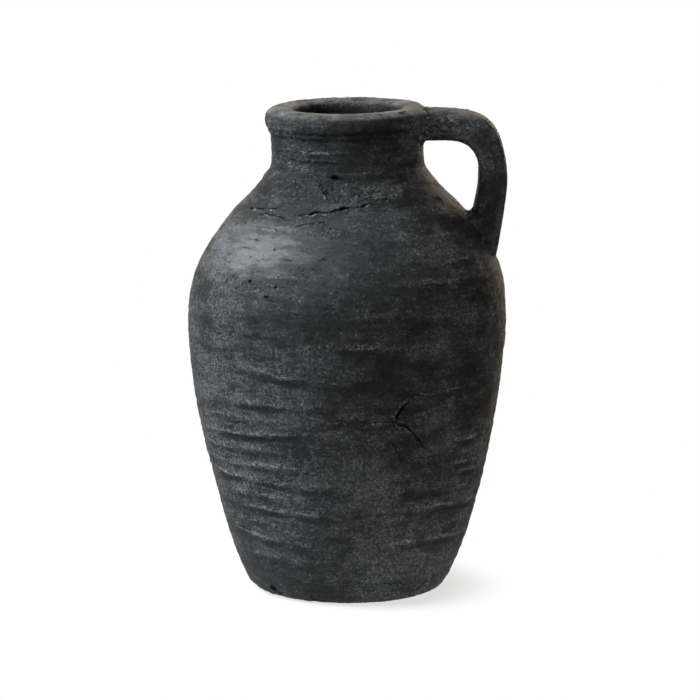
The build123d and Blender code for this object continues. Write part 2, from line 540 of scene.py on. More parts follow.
def cracks(unrolled, points):
    """Depth cut by the cracks and how high their broken edges stand."""
    cut = np.zeros(len(points))
    raised = np.zeros(len(points))
    for number, (width, depth, edge, angle, height, line, reach) in enumerate(crack_lines()):
        chosen, across, up = unrolled.near(angle, height, reach)
        here = points[chosen]
        ragged = 0.65 * noise(here, 1.5, 50 + number)
        wander = 1.1 * noise(here, 4.5, 90 + number)
        distance, side, share = line_distance(across + wander + ragged, up + wander - ragged, line)
        taper = step(share, -0.02, 0.10) * step(1 - share, -0.02, 0.12)
        uneven = 0.82 + 0.45 * noise(here, 3.2, 130 + number)
        half = width * 0.5 * np.clip(uneven * (0.5 + 0.5 * taper), 0.12, 1.5)
        gap = 1 - step(distance, half * 0.55, half * 1.5)
        cut[chosen] = np.maximum(cut[chosen], depth * gap * taper * np.clip(uneven, 0.15, 1.2))
        edge_shape = bump(distance - half * 1.7, 0.9) * (side < 0) + 0.35 * bump(distance - half * 1.7, 0.7)
        raised[chosen] += edge * edge_shape * taper * uneven
    return cut, raised


def covered(unrolled, points, places):
    """How much each point lies in one of the places, from 0 to about 1."""
    amount = np.zeros(len(points))
    for angle, height, half_across, half_up, strength in places:
        chosen, across, up = unrolled.near(angle, height, 2.2 * max(half_across, half_up))
        amount[chosen] += strength * bump(across, half_across) * bump(up, half_up)
    return amount


def holes(unrolled, points):
    """Depth of the single holes and chips."""
    cut = np.zeros(len(points))
    for number, (angle, height, half_across, half_up, depth) in enumerate(HOLES):
        chosen, across, up = unrolled.near(angle, height, 3 * half_across + 2)
        ragged = 0.28 * noise(points[chosen], 1.3, 170 + number)
        distance = np.hypot(across / half_across, up / half_up) + ragged
        cut[chosen] = np.maximum(cut[chosen], depth * (1 - step(distance, 0.45, 1.15)))
    return cut


def outside_relief(points, run, place):
    """How far the outside stands off its plain section, and the surface's numbers for the material."""
    radius, height = place[:, 0], place[:, 1]
    front = np.degrees(np.arctan2(points[:, 0], -points[:, 1]))
    unrolled = Unrolled(front, run, radius)
    body = 1 - step(height, 326, 333)

    offset = lumps(points, *WALL_SWELL) + lumps(points, *WALL_DENTS)
    proud, lip, under = finger_ridges(front, height, points)
    collar = bump(height - COLLAR_RIDGE, 1.0) * (0.5 + 0.5 * noise(points, (9, 9, 30), 3))
    groove_rise, groove_depth, groove_width = COLLAR_GROOVE
    offset += 0.55 * collar - groove_depth * bump(height - COLLAR_RIDGE - groove_rise, groove_width)
    offset += proud * body * step(height, 12, 26)

    angle, middle, half_across, half_up = POLISHED_PATCH_HIGHLIGHT
    across = np.radians(turn_between(front, angle)) * radius
    polished_and_highlit = bump(across, half_across) * bump(run - PROFILE.run_outside(middle), half_up)
    polished_and_highlit = np.clip(polished_and_highlit * (1.15 + 0.4 * noise(points, (16, 16, 4), 6)), 0, 1)
    rough = 1 - 0.75 * polished_and_highlit
    offset += rough * lumps(points, *WALL_BANDS, layers=2) * body
    offset += rough * lumps(points, *WALL_LUMPS, layers=3)

    broken = covered(unrolled, points, CRUMBLY)
    coarse_pits, fine_pits = pits(points, *COARSE_PITS), pits(points, *FINE_PITS)
    nicks = pits(points * LEVEL, *NICKS)
    crumbly = step(broken + 0.25 * noise(points, 4, 15), 0.18, 0.8)
    nicked = step(broken + 0.6 * polished_and_highlit + 0.3 * noise(points, 9, 17), 0.25, 0.9)
    pitted = 0.75 * coarse_pits * rough + 1.25 * fine_pits * crumbly + 1.1 * nicks * nicked
    offset += crumbly * lumps(points, *CRUMBS) - pitted

    cut, raised = cracks(unrolled, points)
    bitten = holes(unrolled, points)
    offset += raised - cut - bitten

    # painted shade in pits, cracks and holes
    hollow_shade = np.clip(0.65 * pitted + cut * 0.9 + bitten * 0.6, 0, 1)
    # dust on ridge lips and crumbs, a painted highlight on the raised crack edges, and below 0 the painted
    # shade under the ridges
    dust_and_painted_light = np.clip(0.85 * lip * body + 0.75 * raised + 0.06 * crumbly, 0, 1) - 0.7 * under * body
    surface = {"hollow_shade": hollow_shade, "dust_and_painted_light": dust_and_painted_light, "polish_and_highlight": polished_and_highlit * (1 - hollow_shade), "crazed": crumbly,
               "scuffs_and_shade": covered(unrolled, points, SCUFFS_AND_SHADE)}
    return offset, surface


def inside_relief(points):
    """The inside is plain: gentle rings and a little roughness."""
    return lumps(points, 0.35, (60, 60, 9), 21) + lumps(points, 0.12, 4.5, 23, layers=2)


def top_wear_and_light(points, upward):
    """Paler wear and painted top light on what faces up at the very top of the pot, from 0 to 1."""
    patchy = 0.75 + 0.5 * noise(points, 11, 27)
    return step(points[:, 2], 334, 345) * step(upward, 0.35, 0.85) * np.clip(patchy, 0.2, 1)


def shaped(points, run):
    """Final positions of points on the plain section, and the surface's numbers for the material."""
    place, normal = PROFILE.at(run)
    azimuth = np.arctan2(points[:, 1], points[:, 0])
    across = np.stack([np.cos(azimuth), np.sin(azimuth)], axis=1)
    plain = np.column_stack([across * place[:, :1], place[:, 1]])
    outward = np.column_stack([across * normal[:, :1], normal[:, 1]])

    outside = step(PROFILE.crown + 9 - run, 0, 8)
    out_offset, surface = outside_relief(plain, run, place)
    offset = out_offset * outside + inside_relief(plain) * (1 - outside)
    # the underside is kept nearly level, and the pot stands on it
    flat = 1 - step(run, PROFILE.run_outside(0.4) - 5, PROFILE.run_outside(1.5))
    offset = np.where(flat > 0, offset * (1 - flat) - 0.12 * flat * (1 + noise(plain, 5, 29)), offset)
    moved = plain + outward * offset[:, None]
    moved[:, 0] += sway(place[:, 1])
    moved[:, 2] += RIM_TILT * plain[:, 0] * step(place[:, 1], 310, 338)
    moved[:, 2] = np.maximum(moved[:, 2], 0)
    surface = {name: values * outside for name, values in surface.items()}
    # painted shade down inside the mouth
    surface["hollow_shade"] += INSIDE_SHADE * step(run, PROFILE.crown + 8, PROFILE.crown + 17)
    surface["worn_and_lit"] = top_wear_and_light(plain, normal[:, 1])
    return moved, surface


# ---------------------------------------------------------------- the pot's meshes

REFINE_REACH = 3.0            # mm round a crack or hole where the mesh is made finer
REFINE_CUTS = 2
JOINT_MATCH = 0.02            # mm, for finding the edges on a joint's row


def plain_grid():
    """The whole pot as one undisplaced mesh, with the distance along the section on each vertex."""
    rows = grid_rows()
    place, _ = PROFILE.at(rows)
    turn = np.arange(COLUMNS) * (2 * math.pi / COLUMNS)
    ring = np.stack([np.cos(turn), np.sin(turn)], axis=1)
    count = len(rows)
    across = place[:, None, :1] * ring[None]
    points = np.concatenate([across, np.broadcast_to(place[:, None, 1:], (count, COLUMNS, 1))], axis=2)
    poles = np.array([[0, 0, place[0, 1]], [0, 0, place[-1, 1]]])
    vertices = np.concatenate([points.reshape(-1, 3), poles])

    here = np.arange(count * COLUMNS).reshape(count, COLUMNS)
    beside = np.roll(here, -1, axis=1)
    quads = np.stack([here[:-1], beside[:-1], beside[1:], here[1:]], axis=-1).reshape(-1, 4)
    under, floor = count * COLUMNS, count * COLUMNS + 1
    caps = [(under, b, a) for a, b in zip(here[0], beside[0])]
    caps += [(floor, a, b) for a, b in zip(here[-1], beside[-1])]
    mesh = new_mesh("whole_pot", vertices, quads, np.array(caps))
    run = np.concatenate([np.repeat(rows, COLUMNS), [0.0, PROFILE.run[-1]]])
    store(mesh, "run", run)
    return mesh


def new_object(name, data):
    thing = bpy.data.objects.new(name, data)
    bpy.context.scene.collection.objects.link(thing)
    return thing


@contextmanager
def editing(mesh, result=None):
    """Opens a mesh for editing and writes it back, or into result, at the end."""
    work = bmesh.new()
    work.from_mesh(mesh)
    yield work
    work.to_mesh(result or mesh)
    work.free()


def read(items, key, width=1, kind=np.float32):
    """One property of every item as an array, in rows where the width is over 1."""
    values = np.zeros(len(items) * width, kind)
    items.foreach_get(key, values)
    return values.reshape(-1, width) if width > 1 else values


def new_mesh(name, vertices, quads, triangles=()):
    """A mesh from arrays of points (mm) and corner numbers."""
    triangles = np.asarray(triangles, int).reshape(-1, 3)
    corners = np.concatenate([quads.reshape(-1), triangles.reshape(-1)]).astype(np.int32)
    sizes = np.concatenate([np.full(len(quads), 4), np.full(len(triangles), 3)])
    starts = np.concatenate([[0], np.cumsum(sizes)[:-1]]).astype(np.int32)
    mesh = bpy.data.meshes.new(name)
    mesh.vertices.add(len(vertices))
    mesh.loops.add(len(corners))
    mesh.polygons.add(len(sizes))
    mesh.vertices.foreach_set("co", (np.asarray(vertices) * MM).astype(np.float32).ravel())
    mesh.loops.foreach_set("vertex_index", corners)
    mesh.polygons.foreach_set("loop_start", starts)
    mesh.update(calc_edges=True)
    mesh.validate()
    return mesh


def store(mesh, name, values):
    """One number for each vertex."""
    attribute = mesh.attributes.get(name) or mesh.attributes.new(name, "FLOAT", "POINT")
    attribute.data.foreach_set("value", np.asarray(values, np.float32))


def stored(mesh, name):
    return read(mesh.attributes[name].data, "value").astype(float)


def positions(mesh):
    """Vertex positions in mm."""
    return read(mesh.vertices, "co", 3).astype(float) / MM


def face_corners(mesh):
    """The vertex at every face corner, where each face's corners start, and how many it has."""
    corners = read(mesh.loops, "vertex_index", kind=np.int32)
    starts = read(mesh.polygons, "loop_start", kind=np.int32)
    return corners, starts, np.diff(np.append(starts, len(corners)))


def marked_for_detail(points, run):
    """Which points of the outside are close to a crack or a hole."""
    place, _ = PROFILE.at(run)
    front = np.degrees(np.arctan2(points[:, 0], -points[:, 1]))
    unrolled = Unrolled(front, np.where(run < PROFILE.crown + 6, run, -1e6), place[:, 0])
    marked = np.zeros(len(points), bool)
    for *_, angle, height, line, reach in crack_lines():
        chosen, across, up = unrolled.near(angle, height, reach)
        distance, _, _ = line_distance(across, up, line)
        marked[chosen[distance < REFINE_REACH]] = True
    for angle, height, half_across, *_ in HOLES:
        chosen, across, up = unrolled.near(angle, height, half_across + REFINE_REACH)
        marked[chosen] = True
    return marked


def refine(mesh):
    """Smaller faces round the cracks and holes."""
    marked = marked_for_detail(positions(mesh), stored(mesh, "run"))
    ends = read(mesh.edges, "vertices", 2, np.int32)
    chosen = np.nonzero(marked[ends[:, 0]] & marked[ends[:, 1]])[0]
    with editing(mesh) as work:
        work.edges.ensure_lookup_table()
        edges = [work.edges[i] for i in chosen]
        bmesh.ops.subdivide_edges(work, edges=edges, cuts=REFINE_CUTS, use_grid_fill=True)


def displace(mesh):
    """Moves the plain pot's vertices to their final places and notes what their surface is like."""
    moved, surface = shaped(positions(mesh), stored(mesh, "run"))
    mesh.vertices.foreach_set("co", (moved * MM).astype(np.float32).ravel())
    mesh.update()
    for name, values in surface.items():
        store(mesh, name, values)
    attribute = mesh.attributes.new("soft_normal", "FLOAT_VECTOR", "POINT")
    attribute.data.foreach_set("vector", read(mesh.vertex_normals, "vector", 3).ravel())


def face_runs(mesh):
    """The distance along the section at the middle of every face."""
    corners, starts, sizes = face_corners(mesh)
    return np.add.reduceat(stored(mesh, "run")[corners], starts) / sizes


def joint_edges(work, run, joint):
    """The open edges that lie on a joint's two rows."""
    found = []
    for edge in work.edges:
        if not edge.is_boundary:
            continue
        here, there = (vertex[run] for vertex in edge.verts)
        if min(abs(here - row) for row in joint) < JOINT_MATCH and abs(here - there) < JOINT_MATCH:
            found.append(edge)
    return found


def ring_piece(mesh, middles, number):
    """One ring cut out of the whole pot and closed with its joint faces."""
    outside, inside = joint_runs()
    low_out = outside[number - 1] if number else -1.0
    high_out = outside[number] if number < len(outside) else PROFILE.crown
    high_in = inside[number] if number < len(inside) else PROFILE.crown
    low_in = inside[number - 1] if number else PROFILE.run[-1] + 1
    keep = ((middles > low_out) & (middles < high_out)) | ((middles > high_in) & (middles < low_in))
    piece_mesh = bpy.data.meshes.new(RINGS[number] + "_clay")
    with editing(mesh, piece_mesh) as work:
        work.faces.ensure_lookup_table()
        dropped = [work.faces[i] for i in np.nonzero(~keep)[0]]
        bmesh.ops.delete(work, geom=dropped, context="FACES")
        run = work.verts.layers.float["run"]
        for joint in [(low_out, low_in), (high_out, high_in)]:
            loops = joint_edges(work, run, joint)
            if loops:
                bmesh.ops.bridge_loops(work, edges=loops)
        bmesh.ops.recalc_face_normals(work, faces=work.faces)
    return piece_mesh


def shade_softly(mesh):
    """Smooth shading that matches the neighbouring rings, with flat joint faces."""
    corners, _, sizes = face_corners(mesh)
    soft = read(mesh.attributes["soft_normal"].data, "vector", 3)[corners]
    flat = np.repeat(read(mesh.polygons, "normal", 3), sizes, axis=0)
    agrees = (soft * flat).sum(axis=1) > 0.05
    normals = np.where(agrees[:, None], soft, flat)
    mesh.shade_smooth()
    mesh.normals_split_custom_set(normals)
    mesh.attributes.remove(mesh.attributes["soft_normal"])


def add_piece(name, mesh, node):
    """Puts a finished mesh in the scene as the stand-in for a CAD node."""
    piece = new_object(name, mesh)
    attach(piece, "root")
    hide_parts(node)
    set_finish(piece, SLOTS[node])
    return piece


def build_pot():
    """The six rings, each its own closed piece. Returns the pieces and a tree of the pot's surface."""
    whole = plain_grid()
    refine(whole)
    displace(whole)
    middles = face_runs(whole)
    pieces = []
    for number, node in enumerate(RINGS):
        mesh = ring_piece(whole, middles, number)
        shade_softly(mesh)
        pieces.append(add_piece(node + "_clay", mesh, node))
    corners = [v.co / MM for v in whole.vertices]
    surface = BVHTree.FromPolygons(corners, [p.vertices[:] for p in whole.polygons])
    bpy.data.meshes.remove(whole)
    return pieces, surface


# ---------------------------------------------------------------- the handle

HANDLE_EYE = (68.0, 292.0)    # a point in the finger gap, (x, z), that the strap is measured from
INNER_TURN = (101.0, -42.0)   # directions, in degrees, in which its inner and outer edges are measured
OUTER_TURN = (101.0, -50.5)
SECTIONS = 250                # along the strap
AROUND = 176                  # round the strap
STRAP_GIRTH = 100.0           # mm round the strap, for the spacing of its grooves
BURIED = 9.0                  # how far the strap's ends go into the clay
SQUARENESS = 5.0              # 2 would make the strap's section an ellipse
CRUMBLY_STRAP = (70, 339, 12, 6)   # rough patch on the strap's front: x, z and half sizes
STRAP_FINE_PITS = (2.5, 0.9, 310, 0.6)
STRAP_COARSE_PITS = (7, 1.1, 320, 0.12)


def strap_edges():
    """Matching (x, z) points along the strap's inner and outer edges, from the rim to the shoulder."""
    tree = cad_tree(["handle"])
    eye = Vector((HANDLE_EYE[0], 0.37, HANDLE_EYE[1])) * MM
    edges = []
    for turns, from_outside in ((INNER_TURN, False), (OUTER_TURN, True)):
        edge = []
        for degrees in np.linspace(*turns, 40):
            way = Vector((math.cos(math.radians(degrees)), 0, math.sin(math.radians(degrees))))
            hit = tree.ray_cast(eye + way * 0.2, -way)[0] if from_outside else tree.ray_cast(eye, way)[0]
            edge.append((hit.x / MM, hit.z / MM))
        edge = np.array(edge)
        first, last = edge[0] - edge[1], edge[-1] - edge[-2]
        first, last = first / np.linalg.norm(first), last / np.linalg.norm(last)
        edge = np.concatenate([[edge[0] + first * BURIED], edge, [edge[-1] + last * BURIED]])
        line = curve_through(edge, 12)
        run = run_along(line)
        edges.append(look_up(np.linspace(0, run[-1], SECTIONS), run, line))
    return edges


def rounded_oblong(count, half_width, half_height):
    """An even walk round a rounded rectangle's edge."""
    turn = np.linspace(0, 2 * math.pi, 2000, endpoint=False)
    power = 2 / SQUARENESS
    dense = np.stack([
        half_width * np.sign(np.cos(turn)) * np.abs(np.cos(turn)) ** power,
        half_height * np.sign(np.sin(turn)) * np.abs(np.sin(turn)) ** power,
    ], axis=1)
    closed = np.concatenate([dense, dense[:1]])
    run = run_along(closed)
    return look_up(np.linspace(0, run[-1], count, endpoint=False), run, closed)


def grid_normals(points):
    """Outward normals of a tube given as (along, around, xyz)."""
    along = np.gradient(points, axis=0)
    around = (np.roll(points, -1, axis=1) - np.roll(points, 1, axis=1)) / 2
    normal = np.cross(around, along)
    return normal / np.maximum(np.linalg.norm(normal, axis=2), 1e-9)[..., None]


def strap_relief(points, along, around):
    """The strap's pulled surface: long finger grooves, small lumps and a crumbly patch by the rim.

    Gives the offset and the surface's numbers for the material.
    """
    flat = points.reshape(-1, 3)
    lengthways = np.column_stack([along.ravel(), around.ravel(), np.zeros(along.size)])
    offset = lumps(flat, 0.45, 30, 301) + lumps(lengthways, 0.30, (70, 7, 1), 302)
    offset += lumps(lengthways, 0.10, (22, 2.2, 1), 303)
    x, z, half_x, half_z = CRUMBLY_STRAP
    patch = bump(flat[:, 0] - x, half_x) * bump(flat[:, 2] - z, half_z) * step(-flat[:, 1], 6, 13)
    patch += 0.5 * step(noise(flat, 16, 305), 0.45, 0.8)
    crumbly = step(patch + 0.25 * noise(flat, 3.5, 306), 0.2, 0.8)
    offset += lumps(flat, 0.13, 4.5, 307, layers=3)
    pitted = 0.8 * pits(flat, *STRAP_FINE_PITS) * crumbly + 0.5 * pits(flat, *STRAP_COARSE_PITS)
    offset += crumbly * lumps(flat, 0.25, 2.2, 312) - pitted
    # painted shade in the strap's pits
    hollow_shade = np.clip(0.7 * pitted, 0, 1)
    dust_and_painted_light = np.clip(0.28 * crumbly * (1 - hollow_shade), 0, 1)
    return offset, {"hollow_shade": hollow_shade, "dust_and_painted_light": dust_and_painted_light, "crazed": crumbly}


def strap_wear_and_light(points, upward, corner):
    """Paler wear and painted light on the strap's top and along its rubbed edges, from 0 to 1."""
    patchy = np.clip(0.6 + 0.8 * noise(points, (16, 16, 16), 318), 0, 1)
    # the strap's rounded edges are painted paler: a painted edge highlight, partly rubbed wear
    rubbed_and_lit = step(corner, 0.35, 0.72) * patchy
    return np.maximum(0.7 * top_wear_and_light(points, upward), 0.55 * rubbed_and_lit)


def strap_half_width():
    low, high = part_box("handle")
    return (high.y - low.y) / 2 / MM


def build_handle():
    """The strap, with the middle line and half thickness that the wads follow."""
    inner, outer = strap_edges()
    middle, reach = (inner + outer) / 2, (outer - inner) / 2
    half_width = strap_half_width()
    outline = rounded_oblong(AROUND, half_width, half_width)
    share = outline[:, 1] / half_width
    points = np.zeros((SECTIONS, AROUND, 3))
    points[..., 0] = middle[:, None, 0] + reach[:, None, 0] * share[None]
    points[..., 1] = outline[None, :, 0]
    points[..., 2] = middle[:, None, 1] + reach[:, None, 1] * share[None]
    points = points[:, ::-1]
    normals = grid_normals(points)
    along = np.broadcast_to(run_along(middle)[:, None], points.shape[:2])
    around = np.broadcast_to(np.arange(AROUND)[None] * STRAP_GIRTH / AROUND, points.shape[:2])
    offset, surface = strap_relief(points, along, around)
    corner = np.broadcast_to(np.abs(share * outline[:, 0] / half_width)[None], points.shape[:2])
    surface["worn_and_lit"] = strap_wear_and_light(points.reshape(-1, 3), normals.reshape(-1, 3)[:, 2], corner.ravel())
    points = points + normals * offset.reshape(points.shape[:2])[..., None]
    mesh = tube_mesh("handle_clay", points, closed=False)
    for name, values in surface.items():
        store(mesh, name, np.append(values, [0, 0]))
    mesh.shade_smooth()
    return add_piece("handle_clay", mesh, "handle"), middle, reach


def tube_mesh(name, points, closed):
    """A mesh from a grid of points round a tube; closed tubes join end to end, open ones get end caps."""
    count, around = points.shape[:2]
    vertices = points.reshape(-1, 3)
    here = np.arange(count * around).reshape(count, around)
    beside = np.roll(here, -1, axis=1)
    if closed:
        quads = np.stack([here, np.roll(here, -1, axis=0), np.roll(beside, -1, axis=0), beside], axis=-1)
        mesh = new_mesh(name, vertices, quads.reshape(-1, 4))
    else:
        quads = np.stack([here[:-1], here[1:], beside[1:], beside[:-1]], axis=-1)
        ends = np.stack([points[0].mean(axis=0), points[-1].mean(axis=0)])
        first, last = count * around, count * around + 1
        caps = [(first, a, b) for a, b in zip(here[0], beside[0])]
        caps += [(last, b, a) for a, b in zip(here[-1], beside[-1])]
        mesh = new_mesh(name, np.concatenate([vertices, ends]), quads.reshape(-1, 4), np.array(caps))
    with editing(mesh) as work:
        bmesh.ops.recalc_face_normals(work, faces=work.faces)
    return mesh


# ---------------------------------------------------------------- the luting wads

WAD_STEPS = 240               # round the strap
WAD_CURVE = 9                 # across the visible curve of the wad
# For each wad: the section of the strap used, the direction the strap leaves in as (x, z), height up the
# strap, flare on the wall, height of its lumps, and how dusty its crumbs are.
WADS = {
    "handle_upper_luting": (26, (1.0, 0.0), 4.4, 4.0, 1.4, 0.7),
    "handle_lower_luting": (-44, (0.34, 0.94), 5.0, 6.5, 0.7, 0.3),
}


def wad_points(surface, middle, reach, spec, seed):
    """A ring of soft clay round one end of the strap, as a grid of points round the strap."""
    section, (leave_x, leave_z), full_rise, full_flare, roughness, _ = spec
    leaves = np.array([leave_x, 0.0, leave_z])
    leaves /= np.linalg.norm(leaves)
    across = np.array([0.0, 1.0, 0.0])
    third = np.cross(leaves, across)
    centre = np.array([middle[section, 0], 0.0, middle[section, 1]])
    half_thick = abs(np.dot([reach[section, 0], 0, reach[section, 1]], third))
    outline = rounded_oblong(WAD_STEPS, strap_half_width(), half_thick)
    tangent = np.roll(outline, -1, axis=0) - np.roll(outline, 1, axis=0)
    outward = np.stack([tangent[:, 1], -tangent[:, 0]], axis=1)
    outward /= np.linalg.norm(outward, axis=1)[:, None]
    grid = []
    for (u, v), (nu, nv) in zip(outline, outward):
        out = nu * across + nv * third
        start = centre + u * across + v * third
        hit = surface.ray_cast(Vector(start + leaves * 30), Vector(-leaves))[0]
        if hit is None:
            hit = surface.find_nearest(Vector(start))[0]
        corner = np.array(hit)
        lump = noise(np.array([corner, corner + 40]), 7, seed)
        rise = full_rise * (1 + 0.45 * lump[0])
        flare = full_flare * (1 + 0.45 * lump[1])
        foot, wall, _, _ = surface.find_nearest(Vector(corner + out * flare))
        foot, wall = np.array(foot), np.array(wall)
        top = corner + leaves * rise
        t = np.linspace(0, 1, WAD_CURVE)[:, None]
        bend = corner + 0.25 * (out + wall)
        curve = (1 - t) ** 2 * (top + out * 0.1) + 2 * t * (1 - t) * bend + t ** 2 * (foot + wall * 0.05)
        swell = out + wall
        swell /= np.linalg.norm(swell)
        rough = lumps(curve, roughness, 3.2, seed + 5, layers=2) * np.sin(math.pi * t[:, 0])
        curve = curve + swell * np.maximum(rough, -0.25)[:, None]
        # the hidden back of the wad, a couple of mm inside the wall and the strap
        hidden = [foot - wall * 2.0, corner - wall * 2.2 - out * 2.2, top - out * 2.0]
        grid.append(np.concatenate([curve, hidden]))
    return np.array(grid)


def build_wads(surface, middle, reach):
    """The two wads of luting clay, each its own closed piece."""
    pieces = []
    for number, (node, spec) in enumerate(WADS.items()):
        points = wad_points(surface, middle, reach, spec, 400 + 20 * number)
        mesh = tube_mesh(node + "_clay", points, closed=True)
        flat = positions(mesh)
        crumbly = step(noise(flat, 3, 450 + number), 0.1, 0.7)
        # painted shade in small hollows among the wad's crumbs
        store(mesh, "hollow_shade", 0.9 * step(-noise(flat, 2.2, 460 + number), 0.2, 0.6))
        store(mesh, "dust_and_painted_light", spec[-1] * crumbly)
        mesh.shade_smooth()
        pieces.append(add_piece(node + "_clay", mesh, node))
    return pieces


# ---------------------------------------------------------------- fired clay

SOOT = (0.0050, 0.0055, 0.0061, 1)
GREY = (0.062, 0.0655, 0.069, 1)
FLECK = (0.34, 0.348, 0.358, 1)
DUST_AND_EDGE_HIGHLIGHT = (0.60, 0.60, 0.60, 1)
BUFFED_HIGHLIGHT = (0.078, 0.083, 0.088, 1)
WORN_AND_LIT = (0.240, 0.233, 0.216, 1)
GAP_SHADE = (0.0010, 0.0010, 0.0011, 1)
COARSE_BUMP, FINE_BUMP = 0.0050, 0.0028       # m
ROUGHNESS = (0.37, 0.78)                      # where sootiest and where palest
SPECULAR = 0.27
CLAYS = {                                     # what differs from the body, by material slot
    "foot_clay": {},
    "body_clay": {},
    "rim_clay": {"grey_share": 0.4},
    "handle_clay": {"grey_share": 0.4},
    "luting_clay": {"grey_share": 0.6, "fleck_share": 0.8},
}


class Nodes:
    """Short ways to add and link the nodes of a material or a world."""

    COLOUR_A, COLOUR_B, COLOUR_OUT = 6, 7, 2      # the Mix node's sockets for colours

    def __init__(self, owner):
        owner.use_nodes = True
        self.tree = owner.node_tree
        self.tree.nodes.clear()
        self.coordinates = self.add("ShaderNodeTexCoord").outputs
        self.place = self.coordinates["Object"]

    def add(self, kind, settings=None, **sockets):
        """A node with its settings, and its sockets by name with _ for a space."""
        node = self.tree.nodes.new(kind)
        for key, value in (settings or {}).items():
            setattr(node, key, value)
        for key, value in sockets.items():
            self.set(node.inputs[key.replace("_", " ")], value)
        return node

    def set(self, socket, value):
        if isinstance(value, bpy.types.NodeSocket):
            self.tree.links.new(value, socket)
        else:
            socket.default_value = value

    def noise(self, lump, detail=4.0, rough=0.6, twist=0.0, squash=(1, 1, 1)):
        """Noise from 0 to 1 with lumps of that many mm."""
        place = self.add("ShaderNodeMapping", Vector=self.place, Scale=squash).outputs[0]
        return self.add("ShaderNodeTexNoise", Vector=place, Scale=1 / (lump * MM), Detail=detail,
                        Roughness=rough, Distortion=twist).outputs["Fac"]

    def craze(self, size):
        """1 in a net of hair cracks that divides the clay into flakes of that many mm, 0 elsewhere."""
        wander = self.add("ShaderNodeTexNoise", Vector=self.place, Scale=300.0, Detail=3.0).outputs["Color"]
        shift = self.add("ShaderNodeVectorMath", {"operation": "SCALE"}, Vector=wander, Scale=0.006)
        moved = self.add("ShaderNodeVectorMath", {"operation": "ADD"}, Vector=self.place)
        self.set(moved.inputs[1], shift.outputs["Vector"])
        flakes = self.add("ShaderNodeTexVoronoi", {"feature": "DISTANCE_TO_EDGE"},
                          Vector=moved.outputs["Vector"], Scale=1 / (size * MM))
        return self.between(flakes.outputs["Distance"], 0.13, 0.04)

    def pocks(self, spacing):
        """1 in small round pits about that many mm apart, 0 elsewhere."""
        place = self.add("ShaderNodeMapping", Vector=self.place, Scale=(0.75, 0.75, 1.25)).outputs[0]
        dots = self.add("ShaderNodeTexVoronoi", Vector=place, Scale=1 / (spacing * MM))
        return self.between(dots.outputs["Distance"], 0.44, 0.26)

    def between(self, value, low, high, ends=(0.0, 1.0), kind="SMOOTHSTEP"):
        """The first end below low, the second above high, and a ramp in between."""
        return self.add("ShaderNodeMapRange", {"interpolation_type": kind}, Value=value, From_Min=low,
                        From_Max=high, To_Min=ends[0], To_Max=ends[1]).outputs["Result"]

    def maths(self, operation, first, second):
        node = self.add("ShaderNodeMath", {"operation": operation})
        self.set(node.inputs[0], first)
        self.set(node.inputs[1], second)
        return node.outputs[0]

    def plus(self, first, *others):
        for other in others:
            first = self.maths("ADD", first, other)
        return first

    def times(self, first, *others):
        for other in others:
            first = self.maths("MULTIPLY", first, other)
        return first

    def minus(self, first, second):
        return self.maths("SUBTRACT", first, second)

    def mix(self, share, first, second):
        """One colour into another."""
        node = self.add("ShaderNodeMix", {"data_type": "RGBA"}, Factor=share)
        self.set(node.inputs[self.COLOUR_A], first)
        self.set(node.inputs[self.COLOUR_B], second)
        return node.outputs[self.COLOUR_OUT]

    def blend(self, share, first, second):
        """One shader into another."""
        node = self.add("ShaderNodeMixShader", Fac=share)
        self.set(node.inputs[1], first)
        self.set(node.inputs[2], second)
        return node.outputs[0]

    def attribute(self, name):
        return self.add("ShaderNodeAttribute", {"attribute_name": name}).outputs["Fac"]


